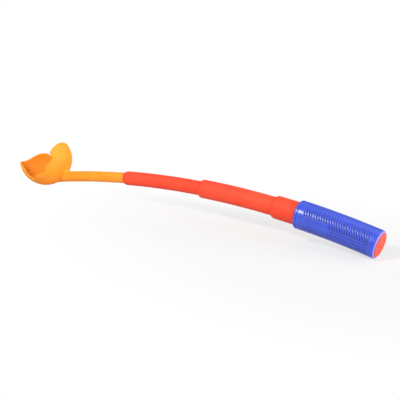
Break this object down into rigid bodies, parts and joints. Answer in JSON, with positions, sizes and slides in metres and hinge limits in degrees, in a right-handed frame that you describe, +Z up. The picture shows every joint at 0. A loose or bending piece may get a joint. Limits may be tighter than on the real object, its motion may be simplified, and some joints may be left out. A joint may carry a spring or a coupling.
{
  "type": "dog ball thrower",
  "caption": "Curved telescopic ball thrower with a ribbed hand grip, nested sliding tubes and a scoop cup that holds a tennis-size ball.",
  "frame": {"origin": "on the floor, under the middle of the extended thrower's box", "axes": "+X along the thrower from the cup towards the grip's end, +Z up with the curve arched upwards, +Y across it"},
  "size_m": [0.5296, 0.0634, 0.0617],
  "materials": {
    "tube_red": "satin moulded plastic",
    "grip_blue": "satin moulded rubber with fine ribs",
    "scoop_orange": "satin moulded plastic",
    "collar_nylon": "plain moulded nylon",
    "drag_rubber": "matt rubber",
    "pad_foam": "matt foam rubber"
  },
  "bodies": {
    "handle": {"handle_tube": "tube_red", "grip_sleeve": "grip_blue", "end_cap": "tube_red", "buffer_pad": "pad_foam", "handle_mouth_ring": "tube_red", "handle_drag_ring": "drag_rubber"},
    "middle": {"middle_tube": "tube_red", "middle_stop_collar": "collar_nylon", "middle_mouth_ring": "tube_red", "middle_drag_ring": "drag_rubber"},
    "front": {"front_tube": "tube_red", "front_stop_collar": "collar_nylon", "front_mouth_ring": "tube_red", "front_drag_ring": "drag_rubber"},
    "scoop": {"scoop": "scoop_orange", "arm_stop_collar": "collar_nylon", "arm_plug": "collar_nylon"}
  },
  "joints": [
    {"name": "middle_slide", "type": "hinge", "parent": "handle", "child": "middle", "pos_m": [0.03395, 0, -1.07464], "axis": [0, 1, 0], "range_deg": [0, 5.27]},
    {"name": "front_slide", "type": "hinge", "parent": "middle", "child": "front", "pos_m": [0.03395, 0, -1.07464], "axis": [0, 1, 0], "range_deg": [0, 5.38]},
    {"name": "scoop_slide", "type": "hinge", "parent": "front", "child": "scoop", "pos_m": [0.03395, 0, -1.07464], "axis": [0, 1, 0], "range_deg": [0, 4.34]}
  ]
}
